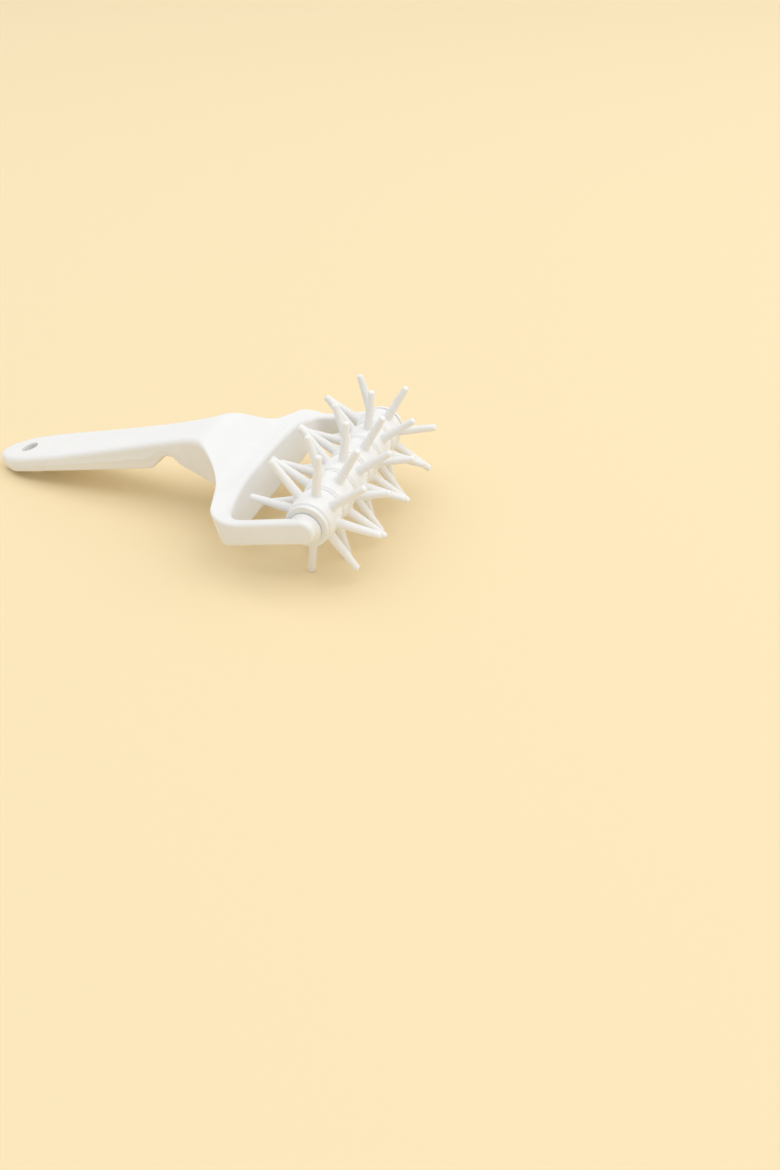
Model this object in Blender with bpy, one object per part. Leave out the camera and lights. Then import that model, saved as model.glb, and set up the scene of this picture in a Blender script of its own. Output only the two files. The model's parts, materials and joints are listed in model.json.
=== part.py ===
"""Dough docker: a moulded plastic frame whose yoke holds a free-turning roller of spiked rings.

Metres, +Z up. The axle lies along X, the roller is at the +Y end and the handle runs back along -Y.
The docker rests on its lowest spikes and on the end of its handle.
"""

import math

import bmesh
import bpy
from mathutils import Matrix, Vector
from mathutils.geometry import delaunay_2d_cdt, intersect_point_line

# Roller
RING_COUNT = 6
SPIKES_PER_RING = 8
RING_PITCH = 0.0140
SPIKE_TIP_RADIUS = 0.0285
SPIKE_ROOT_DIAMETER = 0.0040
SPIKE_POINT_DIAMETER = 0.0029
SPIKE_POINT_ROUNDING = 0.0010
SPIKE_FOOT_DIAMETER = 0.0052
SPIKE_FOOT_HEIGHT = 0.0009
SPIKE_SUNK_DEPTH = 0.0016
HUB_CROWN_RADIUS = 0.0102
HUB_SHOULDER_RADIUS = 0.0094
HUB_GROOVE_RADIUS = 0.0086
HUB_GROOVE_WIDTH = 0.0006
HUB_GROOVE_SLOPE = 0.0006
KEY_SIDES = 8
KEY_ACROSS_FLATS = 0.0090
JOURNAL_DIAMETER = 0.0060
JOURNAL_CHAMFER = 0.0004
COLLAR_RADIUS = 0.0092
COLLAR_THICKNESS = 0.0014
COLLAR_CHAMFER = 0.0003
ROLLER_END_PLAY = 0.0003

# Clearances
SEAT_GAP = 0.0003
SPIKE_TO_YOKE_CLEARANCE = 0.0058
JOURNAL_END_CLEARANCE = 0.0009
CUT_OVERRUN = 0.0010

# Yoke
ARM_THICKNESS = 0.00485
ARM_RADIUS = 0.00525
ARM_EDGE_RADIUS = 0.0017
KNUCKLE_RADIUS = 0.0071
KNUCKLE_LENGTH = 0.0030
KNUCKLE_PROUD = 0.0002
KNUCKLE_CHAMFER = 0.0004
SOCKET_DEPTH = 0.0033
OPENING_CORNER_RADIUS = 0.0045
SHOULDER_CORNER_DEPTH = 0.0060
SHOULDER_CORNER_RADIUS = 0.0080
SHOULDER_ANGLE = math.radians(14.5)
YOKE_CROWN_HEIGHT = 0.0053
YOKE_CROWN_HALF_WIDTH = 0.0407
YOKE_CROWN_POWER = 3.5
YOKE_CROWN_LENGTH = 0.0105

# Handle, with distances along it measured back from the axle
HANDLE_REACH = 0.1815
HANDLE_TIP_HALF_WIDTH = 0.0045
HANDLE_TIP_RADIUS = 0.0060
HANDLE_SHOULDER_FROM_END = 0.0115
HANDLE_SHOULDER_HALF_WIDTH = 0.0114
HANDLE_SHOULDER_RADIUS = 0.0150
GRIP_FROM_END = 0.0285
GRIP_HALF_WIDTH = 0.0131
GRIP_CURVE_RADIUS = 0.1500
WAIST_REACH = 0.0880
WAIST_HALF_WIDTH = 0.0103
WAIST_CURVE_RADIUS = 0.1800
NECK_HALF_WIDTH = 0.0112
NECK_FILLET_RADIUS = 0.0290
HANDLE_TOP_EDGE_RADIUS = 0.0026
HANDLE_UNDER_EDGE_RADIUS = 0.0016

# Heights of the frame's top, above the arms
TOP_RISE = 0.0205
TOP_RISE_START = 0.0268
TOP_RISE_LENGTH = 0.0397
TOP_RISE_POWER = 1.06
NECK_HUMP = 0.0034
NECK_HUMP_MIDDLE = 0.0539
NECK_HUMP_HALF_LENGTH = 0.0121
TOP_FALL = 0.0034

# Heights of the frame's underside
UNDER_CROSSBAR_RISE = 0.0100
UNDER_CROSSBAR_START = 0.0420
UNDER_CROSSBAR_LENGTH = 0.0140
NECK_THICKNESS = 0.0113
UNDER_NECK_START = 0.0580
UNDER_NECK_LENGTH = 0.0190
UNDER_NECK_POWER = 1.6
FINGER_HOLLOW = 0.0030
FINGER_HOLLOW_MIDDLE = 0.0805
FINGER_HOLLOW_HALF_LENGTH = 0.0060
FINGER_STEP = 0.0025
FINGER_STEP_START = 0.0860
FINGER_STEP_LENGTH = 0.0055
HANDLE_END_THICKNESS = 0.0074
UNDER_TAPER_FROM_END = 0.0315

# Hang hole
HANG_HOLE_DIAMETER = 0.0080
HANG_HOLE_FROM_END = 0.0165

# Resting pose
REST_LEAN = math.radians(7.0)
STEEPEST_REST_TILT = math.radians(30.0)
TILT_HALVINGS = 48

# Colours and gloss
FRAME_COLOUR = (0.86, 0.86, 0.85)
FRAME_ROUGHNESS = 0.42
CORE_COLOUR = (0.84, 0.84, 0.83)
CORE_ROUGHNESS = 0.45
RING_COLOUR = (0.88, 0.88, 0.87)
RING_ROUGHNESS = 0.38
COLLAR_COLOUR = (0.85, 0.85, 0.84)
COLLAR_ROUGHNESS = 0.42

# Fineness of the meshes
LONG_STEP = 0.0060
NECK_STEP = 0.0020
CROSSBAR_STEP = 0.0070
ARM_END_STEP = 0.0011
ARC_STEP = math.radians(15.0)
EDGE_STEPS = 3
CAP_GRID_STEP = 0.0065
CAP_GRID_MARGIN_SHARE = 0.45
FILLET_ROOM_SHARE = 0.98
ROUND_SIDES = 24
SPIKE_SIDES = 8
MERGE_DISTANCE = 0.000001
SMOOTH_ANGLE = math.radians(38.0)

# Values that follow from the ones above
RING_TURN = math.pi / SPIKES_PER_RING
HUB_HALF_WIDTH = (RING_PITCH - SEAT_GAP) / 2
CORE_HALF_LENGTH = RING_COUNT * RING_PITCH / 2 - SEAT_GAP / 2
COLLAR_OUTER_FACE = CORE_HALF_LENGTH + SEAT_GAP + COLLAR_THICKNESS
KNUCKLE_FACE = COLLAR_OUTER_FACE + ROLLER_END_PLAY
ARM_INNER_FACE = KNUCKLE_FACE + KNUCKLE_PROUD
ARM_OUTER_FACE = ARM_INNER_FACE + ARM_THICKNESS
SOCKET_FLOOR = KNUCKLE_FACE + SOCKET_DEPTH
JOURNAL_END = SOCKET_FLOOR - JOURNAL_END_CLEARANCE
JOURNAL_RADIUS = JOURNAL_DIAMETER / 2
JOURNAL_BORE_RADIUS = JOURNAL_RADIUS + SEAT_GAP
KEY_HALF_FLATS = KEY_ACROSS_FLATS / 2
OPENING_BACK = SPIKE_TIP_RADIUS + SPIKE_TO_YOKE_CLEARANCE
HANDLE_SHOULDER_REACH = HANDLE_REACH - HANDLE_SHOULDER_FROM_END
GRIP_REACH = HANDLE_REACH - GRIP_FROM_END
TOP_RISE_END = TOP_RISE_START + TOP_RISE_LENGTH
YOKE_CROWN_END = OPENING_BACK + YOKE_CROWN_LENGTH
UNDER_CROSSBAR_END = UNDER_CROSSBAR_START + UNDER_CROSSBAR_LENGTH
UNDER_NECK_RISE = 2 * ARM_RADIUS + TOP_RISE - UNDER_CROSSBAR_RISE - NECK_THICKNESS
UNDER_NECK_END = UNDER_NECK_START + UNDER_NECK_LENGTH
FINGER_STEP_END = FINGER_STEP_START + FINGER_STEP_LENGTH
UNDER_TAPER = NECK_THICKNESS + FINGER_STEP - TOP_FALL - HANDLE_END_THICKNESS
UNDER_TAPER_END = HANDLE_REACH - UNDER_TAPER_FROM_END


def clear_scene():
    for scene_object in list(bpy.data.objects):
        bpy.data.objects.remove(scene_object, do_unlink=True)


def plastic(name, colour, roughness):
    """A moulded plastic with its own colour and gloss."""
    material = bpy.data.materials.new(name)
    material.use_nodes = True
    shader = material.node_tree.nodes["Principled BSDF"]
    shader.inputs["Base Color"].default_value = (*colour, 1.0)
    shader.inputs["Roughness"].default_value = roughness
    shader.inputs["Metallic"].default_value = 0.0
    return material


def new_object(name, mesh, material, parent=None):
    piece = bpy.data.objects.new(name, mesh)
    bpy.context.scene.collection.objects.link(piece)
    if material is not None and not mesh.materials:
        mesh.materials.append(material)
    piece.parent = parent
    return piece


def new_empty(name, parent=None):
    empty = bpy.data.objects.new(name, None)
    bpy.context.scene.collection.objects.link(empty)
    empty.parent = parent
    return empty


def finished_mesh(name, bm):
    """Turn an edited mesh into a closed, smoothly shaded one whose faces point out."""
    bmesh.ops.remove_doubles(bm, verts=bm.verts, dist=MERGE_DISTANCE)
    bmesh.ops.dissolve_degenerate(bm, edges=bm.edges, dist=MERGE_DISTANCE)
    bmesh.ops.recalc_face_normals(bm, faces=bm.faces)
    mesh = bpy.data.meshes.new(name)
    bm.to_mesh(mesh)
    bm.free()
    mesh.shade_smooth()
    mesh.set_sharp_from_angle(angle=SMOOTH_ANGLE)
    return mesh


# Turned and keyed shapes

def round_section(x, radius, sides=ROUND_SIDES):
    """A circle about the X axis."""
    angles = [2 * math.pi * side / sides for side in range(sides)]
    return [Vector((x, radius * math.sin(angle), radius * math.cos(angle))) for angle in angles]


def key_section(x, half_flats, turn=0.0, sides=ROUND_SIDES):
    """A regular polygon about the X axis, given by half its width across flats."""
    corner_angle = 2 * math.pi / KEY_SIDES
    points = []
    for side in range(sides):
        angle = 2 * math.pi * side / sides
        radius = half_flats / math.cos(angle % corner_angle - corner_angle / 2)
        points.append(Vector((x, radius * math.sin(angle + turn), radius * math.cos(angle + turn))))
    return points


def loft(bm, sections, closed):
    """Join sections with equal point counts, into a ring if closed, or with a cap on each end."""
    loops = [[bm.verts.new(point) for point in section] for section in sections]
    pairs = list(zip(loops, loops[1:]))
    if closed:
        pairs.append((loops[-1], loops[0]))
    for first, second in pairs:
        for index in range(len(first)):
            following = (index + 1) % len(first)
            bm.faces.new((first[index], first[following], second[following], second[index]))
    if not closed:
        bm.faces.new(reversed(loops[0]))
        bm.faces.new(loops[-1])


def hub_mesh():
    """The ring's barrel: crowned under the spikes, grooved at both ends, with a keyed bore."""
    groove_start = HUB_HALF_WIDTH - HUB_GROOVE_WIDTH
    shoulder = groove_start - HUB_GROOVE_SLOPE
    crown_edge = SPIKE_ROOT_DIAMETER / 2
    half_profile = [
        (crown_edge, HUB_CROWN_RADIUS),
        (shoulder, HUB_SHOULDER_RADIUS),
        (groove_start, HUB_GROOVE_RADIUS),
        (HUB_HALF_WIDTH, HUB_GROOVE_RADIUS),
    ]
    profile = [(-x, radius) for x, radius in reversed(half_profile)] + half_profile
    sections = [round_section(x, radius) for x, radius in profile]
    bore = KEY_HALF_FLATS + SEAT_GAP
    sections.append(key_section(HUB_HALF_WIDTH, bore, turn=RING_TURN / 2))
    sections.append(key_section(-HUB_HALF_WIDTH, bore, turn=RING_TURN / 2))
    bm = bmesh.new()
    loft(bm, sections, closed=True)
    return finished_mesh("star_ring_hub", bm)


def spike_mesh():
    """A ring's tapered round spikes, with blunt points and flared feet sunk into the hub."""
    root_radius = SPIKE_ROOT_DIAMETER / 2
    point_radius = SPIKE_POINT_DIAMETER / 2
    foot_radius = SPIKE_FOOT_DIAMETER / 2
    profile = [
        (HUB_CROWN_RADIUS - SPIKE_SUNK_DEPTH, foot_radius),
        (HUB_CROWN_RADIUS, foot_radius),
        (HUB_CROWN_RADIUS + SPIKE_FOOT_HEIGHT, root_radius),
        (SPIKE_TIP_RADIUS - SPIKE_POINT_ROUNDING, point_radius),
        (SPIKE_TIP_RADIUS, point_radius - SPIKE_POINT_ROUNDING),
    ]
    bm = bmesh.new()
    for spike in range(SPIKES_PER_RING):
        outward = Matrix.Rotation(2 * RING_TURN * spike, 4, "X") @ Matrix.Rotation(-math.pi / 2, 4, "Y")
        sections = []
        for height, radius in profile:
            circle = round_section(height, radius, SPIKE_SIDES)
            sections.append([outward @ point for point in circle])
        loft(bm, sections, closed=False)
    return finished_mesh("star_ring_spikes", bm)


def star_ring_mesh():
    """The hub and its spikes as one moulding."""
    hub = new_object("star_ring_hub", hub_mesh(), None)
    spikes = new_object("star_ring_spikes", spike_mesh(), None)
    union = hub.modifiers.new("join_spikes", "BOOLEAN")
    union.operation = "UNION"
    union.solver = "EXACT"
    union.use_self = True
    union.object = spikes
    bpy.context.view_layer.update()
    bm = bmesh.new()
    bm.from_object(hub, bpy.context.evaluated_depsgraph_get())
    bpy.data.objects.remove(hub, do_unlink=True)
    bpy.data.objects.remove(spikes, do_unlink=True)
    return finished_mesh("star_ring", bm)


def core_mesh():
    """The keyed bar through the rings, with a round journal on each end."""
    half_profile = [
        key_section(CORE_HALF_LENGTH, KEY_HALF_FLATS),
        round_section(CORE_HALF_LENGTH, JOURNAL_RADIUS),
        round_section(JOURNAL_END - JOURNAL_CHAMFER, JOURNAL_RADIUS),
        round_section(JOURNAL_END, JOURNAL_RADIUS - JOURNAL_CHAMFER),
    ]
    mirror = Matrix.Scale(-1.0, 4, Vector((1.0, 0.0, 0.0)))
    other_half = [[mirror @ point for point in section] for section in reversed(half_profile)]
    bm = bmesh.new()
    loft(bm, other_half + half_profile, closed=False)
    return finished_mesh("roller_core", bm)


def collar_mesh():
    """A thrust collar between the last ring and the arm, loose on the journal."""
    half = COLLAR_THICKNESS / 2
    profile = [
        (-half, JOURNAL_BORE_RADIUS),
        (-half, COLLAR_RADIUS - COLLAR_CHAMFER),
        (-half + COLLAR_CHAMFER, COLLAR_RADIUS),
        (half - COLLAR_CHAMFER, COLLAR_RADIUS),
        (half, COLLAR_RADIUS - COLLAR_CHAMFER),
        (half, JOURNAL_BORE_RADIUS),
    ]
    bm = bmesh.new()
    loft(bm, [round_section(x, radius) for x, radius in profile], closed=True)
    return finished_mesh("end_collar", bm)


# Frame

def clamped(value):
    return max(0.0, min(1.0, value))


def share_between(value, start, end):
    return clamped((value - start) / (end - start))


def eased(share):
    return share * share * (3 - 2 * share)


def top_level(x, back):
    """Height of the frame's top above the axle, a distance back from it and x to the side."""
    rise = eased(share_between(back, TOP_RISE_START, TOP_RISE_END)) ** TOP_RISE_POWER
    fall = 1 - (1 - share_between(back, TOP_RISE_END, HANDLE_REACH)) ** 2
    crown = 1 - clamped(abs(x) / YOKE_CROWN_HALF_WIDTH) ** YOKE_CROWN_POWER
    crown *= 1 - eased(share_between(back, OPENING_BACK, YOKE_CROWN_END))
    hump = eased(clamped(1 - abs(back - NECK_HUMP_MIDDLE) / NECK_HUMP_HALF_LENGTH))
    yoke = ARM_RADIUS + crown * YOKE_CROWN_HEIGHT
    return yoke + rise * TOP_RISE + hump * NECK_HUMP - fall * TOP_FALL


def under_level(back):
    """Height of the frame's underside, with the hollow and the step that stop the fingers."""
    crossbar = eased(share_between(back, UNDER_CROSSBAR_START, UNDER_CROSSBAR_END))
    neck = share_between(back, UNDER_NECK_START, UNDER_NECK_END) ** UNDER_NECK_POWER
    step = eased(share_between(back, FINGER_STEP_START, FINGER_STEP_END))
    taper = share_between(back, FINGER_STEP_END, UNDER_TAPER_END)
    hollow = clamped(1 - ((back - FINGER_HOLLOW_MIDDLE) / FINGER_HOLLOW_HALF_LENGTH) ** 2)
    rise = crossbar * UNDER_CROSSBAR_RISE + neck * UNDER_NECK_RISE + hollow * FINGER_HOLLOW
    return -ARM_RADIUS + rise - step * FINGER_STEP + taper * UNDER_TAPER


def edge_radius(back, side):
    """Radius of the outline's edges, which grows from the arms to the handle."""
    growth = eased(share_between(back, TOP_RISE_START, TOP_RISE_END))
    handle_radius = HANDLE_TOP_EDGE_RADIUS if side > 0 else HANDLE_UNDER_EDGE_RADIUS
    return ARM_EDGE_RADIUS + growth * (handle_radius - ARM_EDGE_RADIUS)


def frame_height(x, y, side, drop):
    """Height of the top (side 1) or the underside (side -1), less its edge rounding's drop.

    Past the axle the arm is a disc with rounded rims, so its height follows from x and y alone.
    """
    if y > 0:
        from_face = clamped(min(ARM_OUTER_FACE - abs(x), abs(x) - ARM_INNER_FACE) / ARM_EDGE_RADIUS)
        rim_drop = ARM_EDGE_RADIUS * (1 - math.sqrt(1 - (1 - from_face) ** 2))
        reach = ARM_RADIUS - rim_drop
        return side * math.sqrt(max(0.0, reach * reach - y * y))
    if side > 0:
        return top_level(x, -y) - drop
    return under_level(-y) + drop


def stepped(first, last, step):
    """Points from first up to, and without, last, no further apart than step."""
    count = max(1, math.ceil((last - first).length / step))
    return [first.lerp(last, index / count) for index in range(count)]


def fillet_tangents(corners):
    """How far each inner corner's arc reaches along its walls. Arcs share a wall that is too short."""
    spots = [Vector(corner[:2]) for corner in corners]
    tangents = [0.0]
    for before, here, after, corner in zip(spots, spots[1:], spots[2:], corners[1:]):
        turn = (here - before).angle(after - here)
        tangents.append(corner[2] * math.tan(turn / 2))
    tangents.append(0.0)
    fits = []
    for first, second, start, end in zip(spots, spots[1:], tangents, tangents[1:]):
        room = FILLET_ROOM_SHARE * (second - first).length
        fits.append(room / max(room, start + end))
    return [tangent * min(before, after) for tangent, before, after in zip(tangents[1:], fits, fits[1:])]


def rounded_path(corners):
    """A path through corners of (x, y, radius, step), with an arc of that radius at each.

    The step is the longest allowed along the path from that corner on.
    """
    path = []
    start = Vector(corners[0][:2])
    tangents = fillet_tangents(corners)
    for before, corner, after, tangent in zip(corners, corners[1:], corners[2:], tangents):
        here = Vector(corner[:2])
        arriving = (here - Vector(before[:2])).normalized()
        leaving = (Vector(after[:2]) - here).normalized()
        turn = arriving.angle_signed(leaving)
        arc_start = here - arriving * tangent
        path += stepped(start, arc_start, before[3])
        start = here + leaving * tangent
        if tangent > 0:
            radius = tangent / math.tan(abs(turn) / 2)
            across = Vector((arriving.y, -arriving.x)) * math.copysign(radius, turn)
            count = max(math.ceil(abs(turn) / ARC_STEP), math.ceil(abs(turn) * radius / before[3]))
            for index in range(count):
                swing = Matrix.Rotation(-turn * index / count, 2)
                path.append(arc_start + across - swing @ across)
    path += stepped(start, Vector(corners[-1][:2]), corners[-2][3])
    path.append(Vector(corners[-1][:2]))
    return path


def frame_outline():
    """The frame seen from above, anticlockwise from the end of the handle."""
    neck_run = ARM_OUTER_FACE - NECK_HALF_WIDTH
    corner_back = OPENING_BACK + SHOULDER_CORNER_DEPTH
    neck_back = corner_back + neck_run * math.tan(SHOULDER_ANGLE)
    corners = [
        (0.0, -HANDLE_REACH, 0.0, LONG_STEP),
        (HANDLE_TIP_HALF_WIDTH, -HANDLE_REACH, HANDLE_TIP_RADIUS, LONG_STEP),
        (HANDLE_SHOULDER_HALF_WIDTH, -HANDLE_SHOULDER_REACH, HANDLE_SHOULDER_RADIUS, LONG_STEP),
        (GRIP_HALF_WIDTH, -GRIP_REACH, GRIP_CURVE_RADIUS, LONG_STEP),
        (WAIST_HALF_WIDTH, -WAIST_REACH, WAIST_CURVE_RADIUS, NECK_STEP),
        (NECK_HALF_WIDTH, -neck_back, NECK_FILLET_RADIUS, LONG_STEP),
        (ARM_OUTER_FACE, -corner_back, SHOULDER_CORNER_RADIUS, LONG_STEP),
        (ARM_OUTER_FACE, 0.0, 0.0, ARM_END_STEP),
        (ARM_OUTER_FACE, ARM_RADIUS, ARM_EDGE_RADIUS, ARM_THICKNESS),
        (ARM_INNER_FACE, ARM_RADIUS, ARM_EDGE_RADIUS, ARM_END_STEP),
        (ARM_INNER_FACE, 0.0, 0.0, LONG_STEP),
        (ARM_INNER_FACE, -OPENING_BACK, OPENING_CORNER_RADIUS, CROSSBAR_STEP),
        (0.0, -OPENING_BACK, 0.0, CROSSBAR_STEP),
    ]
    right_half = rounded_path(corners)
    left_half = [Vector((-point.x, point.y)) for point in reversed(right_half[1:-1])]
    return right_half + left_half


def inward_directions(outline):
    """The direction into the material at each point of the outline."""
    directions = []
    for index, point in enumerate(outline):
        before = (point - outline[index - 1]).normalized()
        after = (outline[(index + 1) % len(outline)] - point).normalized()
        along = (before + after).normalized()
        directions.append(Vector((-along.y, along.x)))
    return directions


def is_inside(point, outline):
    inside = False
    for index, first in enumerate(outline):
        second = outline[index - 1]
        if (first.y > point.y) != (second.y > point.y):
            crossing = first.x + (point.y - first.y) / (second.y - first.y) * (second.x - first.x)
            inside ^= point.x < crossing
    return inside


def distance_to(point, outline):
    nearest = math.inf
    for index, first in enumerate(outline):
        second = outline[index - 1]
        share = clamped(intersect_point_line(point, first, second)[1])
        nearest = min(nearest, (point - first.lerp(second, share)).length)
    return nearest


def grid_points(outline):
    """A regular grid inside the outline, kept off its edge."""
    margin = CAP_GRID_STEP * CAP_GRID_MARGIN_SHARE
    columns = int(ARM_OUTER_FACE / CAP_GRID_STEP)
    rows = int(HANDLE_REACH / CAP_GRID_STEP)
    points = []
    for row in range(rows + 1):
        for column in range(-columns, columns + 1):
            point = Vector((column * CAP_GRID_STEP, -row * CAP_GRID_STEP))
            if is_inside(point, outline) and distance_to(point, outline) > margin:
                points.append(point)
    return points


def frame_belts(outline, inward):
    """Loops round the frame, from the edge of the underside up to the edge of the top."""
    quarter_steps = [math.pi / 2 * step / EDGE_STEPS for step in range(EDGE_STEPS + 1)]
    turns = [(-1, angle) for angle in reversed(quarter_steps)] + [(1, angle) for angle in quarter_steps]
    belts = []
    for side, angle in turns:
        belt = []
        for point, direction in zip(outline, inward):
            radius = edge_radius(-point.y, side)
            spot = point + direction * radius * (1 - math.cos(angle))
            drop = radius * (1 - math.sin(angle))
            belt.append(Vector((spot.x, spot.y, frame_height(spot.x, spot.y, side, drop))))
        belts.append(belt)
    return belts


def add_cap(bm, belt, side):
    """Close the top or the underside with a triangulated grid."""
    border = []
    for point in belt:
        flat = point.to_2d()
        if not border or (flat - border[-1]).length > MERGE_DISTANCE:
            border.append(flat)
    points = border + grid_points(border)
    spots, _, faces, _, _, _ = delaunay_2d_cdt(points, [], [list(range(len(border)))], 1, MERGE_DISTANCE)
    verts = []
    for spot in spots:
        height = frame_height(spot.x, spot.y, side, 0.0)
        verts.append(bm.verts.new((spot.x, spot.y, height)))
    for face in faces:
        corners = [verts[index] for index in face]
        bm.faces.new(corners if side > 0 else reversed(corners))


def frame_mesh():
    """The handle, the crossbar and both arms as one moulding, before its holes."""
    outline = frame_outline()
    belts = frame_belts(outline, inward_directions(outline))
    bm = bmesh.new()
    loops = [[bm.verts.new(point) for point in belt] for belt in belts]
    for lower, upper in zip(loops, loops[1:]):
        for index in range(len(lower)):
            following = (index + 1) % len(lower)
            bm.faces.new((lower[index], lower[following], upper[following], upper[index]))
    add_cap(bm, belts[0], -1)
    add_cap(bm, belts[-1], 1)
    return finished_mesh("frame", bm)


def guide(name, sections, parent):
    """A hidden shape that is joined to the frame or cut out of it."""
    bm = bmesh.new()
    loft(bm, sections, closed=False)
    shape = new_object(name, finished_mesh(name, bm), None, parent)
    shape.hide_render = True
    shape.display_type = "WIRE"
    return shape


def combine(piece, shape, operation):
    modifier = piece.modifiers.new(shape.name, "BOOLEAN")
    modifier.operation = operation
    modifier.solver = "EXACT"
    modifier.object = shape


def knuckle_sections(side):
    """The arm's thick end, widest at the collar and tapered until it is gone into the arm."""
    profile = [
        (KNUCKLE_FACE, KNUCKLE_RADIUS - KNUCKLE_CHAMFER),
        (KNUCKLE_FACE + KNUCKLE_CHAMFER, KNUCKLE_RADIUS),
        (KNUCKLE_FACE + KNUCKLE_LENGTH, ARM_RADIUS - KNUCKLE_CHAMFER),
    ]
    return [round_section(side * x, radius) for x, radius in profile]


def build_frame(parent):
    """The one-piece moulding: a knuckle and a blind socket at each arm's end, and a hole to hang by."""
    frame_plastic = plastic("frame_plastic", FRAME_COLOUR, FRAME_ROUGHNESS)
    frame = new_object("frame", frame_mesh(), frame_plastic, parent)
    for name, side in (("knuckle_right", 1), ("knuckle_left", -1)):
        combine(frame, guide(name, knuckle_sections(side), parent), "UNION")
    socket_start = KNUCKLE_FACE - CUT_OVERRUN
    for name, side in (("socket_right", 1), ("socket_left", -1)):
        sections = [
            round_section(side * socket_start, JOURNAL_BORE_RADIUS),
            round_section(side * SOCKET_FLOOR, JOURNAL_BORE_RADIUS),
        ]
        combine(frame, guide(name, sections, parent), "DIFFERENCE")
    hole_radius = HANG_HOLE_DIAMETER / 2
    hole_back = HANDLE_REACH - HANG_HOLE_FROM_END
    upright = Matrix.Rotation(-math.pi / 2, 4, "Y")
    place = Matrix.Translation((0.0, -hole_back, 0.0)) @ upright
    hole_top = top_level(0.0, hole_back) + CUT_OVERRUN
    hole_bottom = under_level(hole_back) - CUT_OVERRUN
    sections = [[place @ point for point in round_section(level, hole_radius)]
                for level in (hole_bottom, hole_top)]
    combine(frame, guide("hang_hole", sections, parent), "DIFFERENCE")
    weld = frame.modifiers.new("weld_slivers", "WELD")
    weld.merge_threshold = MERGE_DISTANCE
    return frame


def build_roller(parent):
    """The core, six equal rings, each turned over from the last, and the two collars."""
    core_plastic = plastic("core_plastic", CORE_COLOUR, CORE_ROUGHNESS)
    pieces = [new_object("roller_core", core_mesh(), core_plastic, parent)]
    ring_mesh = star_ring_mesh()
    ring_plastic = plastic("ring_plastic", RING_COLOUR, RING_ROUGHNESS)
    first_ring = (RING_COUNT - 1) * RING_PITCH / 2
    for ring in range(RING_COUNT):
        turned_over = ring % 2 == 1
        piece = new_object(f"star_ring_{ring + 1}", ring_mesh, ring_plastic, parent)
        piece.location.x = first_ring - ring * RING_PITCH
        piece.rotation_euler = (RING_TURN / 2, 0.0, math.pi if turned_over else 0.0)
        pieces.append(piece)
    collar = collar_mesh()
    collar_plastic = plastic("collar_plastic", COLLAR_COLOUR, COLLAR_ROUGHNESS)
    for name, side in (("end_collar_right", 1), ("end_collar_left", -1)):
        piece = new_object(name, collar, collar_plastic, parent)
        piece.location.x = side * (COLLAR_OUTER_FACE - COLLAR_THICKNESS / 2)
        pieces.append(piece)
    return pieces


# Resting pose

def world_points(pieces):
    return [piece.matrix_world @ vertex.co for piece in pieces for vertex in piece.data.vertices]


def resting_tilt(frame_points, spike_depth):
    """The tilt at which the end of the handle is as low as the lowest spike."""
    level, steepest = 0.0, STEEPEST_REST_TILT
    for _ in range(TILT_HALVINGS):
        middle = (level + steepest) / 2
        lowest = min(point.y * math.sin(middle) + point.z * math.cos(middle) for point in frame_points)
        if lowest > -spike_depth:
            level = middle
        else:
            steepest = middle
    return level


def build_docker():
    """Place the pieces, then lean ring 1's top spike forwards and tilt the frame onto its handle."""
    rest_turn = -REST_LEAN - RING_TURN / 2
    axle = new_empty("axle")
    roller_turn = new_empty("roller_turn", axle)
    frame = build_frame(axle)
    roller = build_roller(roller_turn)
    roller_turn.rotation_euler.x = rest_turn
    bpy.context.view_layer.update()
    spike_depth = -min(point.z for point in world_points(roller))
    tilt = resting_tilt(world_points([frame]), spike_depth)
    axle.rotation_euler.x = tilt
    roller_turn.rotation_euler.x = rest_turn - tilt
    bpy.context.view_layer.update()
    lengthwise = [point.y for point in world_points(roller + [frame])]
    axle.location = (0.0, -(min(lengthwise) + max(lengthwise)) / 2, spike_depth)
    bpy.context.view_layer.update()


clear_scene()
build_docker()
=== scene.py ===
"""Dough docker in white moulded plastic: fine meshes, finishes, floor, light and camera.

Metres, +Z up. The docker's own shapes are made about the axle, with +Y from the handle towards the
roller, and are then tilted into the resting pose that the frame states.
"""

import json
import math

import bmesh
import bpy
from mathutils import Euler, Matrix, Vector
from mathutils.geometry import delaunay_2d_cdt, intersect_point_line


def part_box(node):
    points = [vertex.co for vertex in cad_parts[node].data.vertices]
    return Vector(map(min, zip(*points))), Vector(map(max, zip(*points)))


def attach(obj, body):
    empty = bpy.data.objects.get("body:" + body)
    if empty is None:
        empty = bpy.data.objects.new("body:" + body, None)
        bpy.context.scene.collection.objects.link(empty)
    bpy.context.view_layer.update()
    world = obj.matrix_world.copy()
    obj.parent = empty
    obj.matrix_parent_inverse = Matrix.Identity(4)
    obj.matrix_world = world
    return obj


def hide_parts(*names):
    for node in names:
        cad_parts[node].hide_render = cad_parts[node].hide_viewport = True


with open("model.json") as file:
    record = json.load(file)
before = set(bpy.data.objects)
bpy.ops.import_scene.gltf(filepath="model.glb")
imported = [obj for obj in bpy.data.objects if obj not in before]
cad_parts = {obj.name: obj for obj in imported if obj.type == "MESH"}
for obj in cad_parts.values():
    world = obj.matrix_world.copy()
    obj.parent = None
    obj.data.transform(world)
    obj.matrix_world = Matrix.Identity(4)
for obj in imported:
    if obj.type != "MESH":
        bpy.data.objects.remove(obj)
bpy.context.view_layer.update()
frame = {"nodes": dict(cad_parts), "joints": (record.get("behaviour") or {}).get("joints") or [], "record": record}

# Roller
SPIKES_PER_RING = 8
SPIKE_TIP_RADIUS = 0.0285
SPIKE_ROOT_RADIUS = 0.0020
SPIKE_POINT_RADIUS = 0.00145
SPIKE_POINT_ROUNDING = 0.0010
SPIKE_FOOT_RADIUS = 0.0026
SPIKE_FOOT_HEIGHT = 0.0009
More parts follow.
